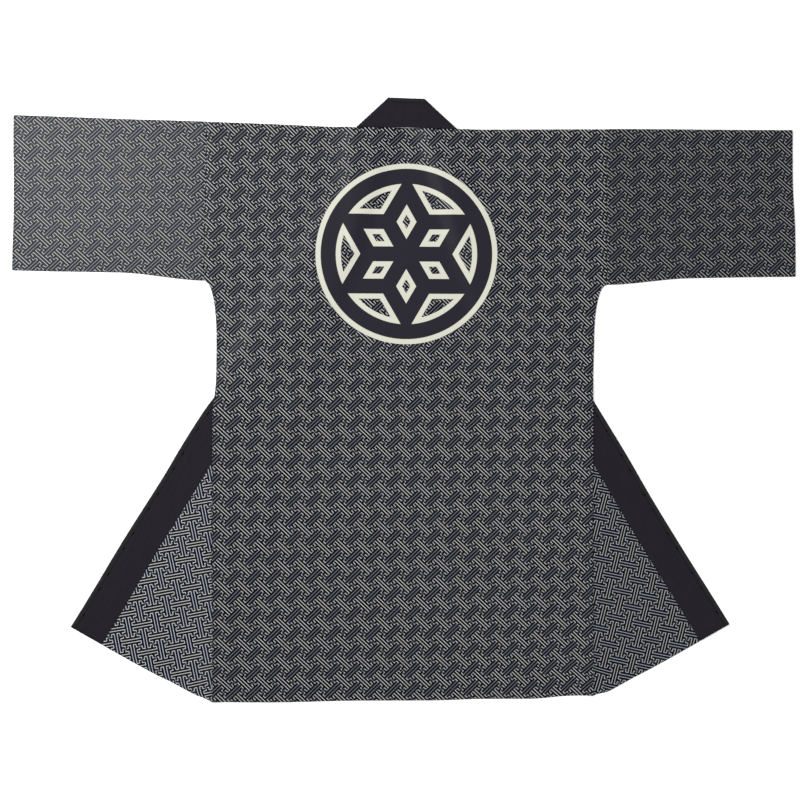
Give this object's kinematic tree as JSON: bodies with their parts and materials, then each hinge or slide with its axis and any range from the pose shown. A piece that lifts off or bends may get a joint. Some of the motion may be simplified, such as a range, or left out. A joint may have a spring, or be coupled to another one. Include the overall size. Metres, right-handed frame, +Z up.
{
  "type": "hanten",
  "caption": "Straight-cut cotton hanten laid flat with its back up, both fronts folded out under it and a dark collar band round neck and front edges.",
  "frame": {"origin": "under the middle of the garment's outline, on the surface that it lies on", "axes": "+X towards the wearer's right cuff, +Y towards the collar, +Z up out of the back"},
  "size_m": [1.3, 1.0029, 0.0066],
  "materials": {
    "printed_cotton": "matt plain-weave cotton, fine pale key-fret print on dark navy",
    "collar_cotton": "matt plain-weave cotton, black with a navy cast"
  },
  "bodies": {
    "root": {"back": "printed_cotton", "front_right": "printed_cotton", "front_left": "printed_cotton", "sleeve_right": "printed_cotton", "sleeve_left": "printed_cotton", "collar": "collar_cotton"}
  },
  "joints": []
}
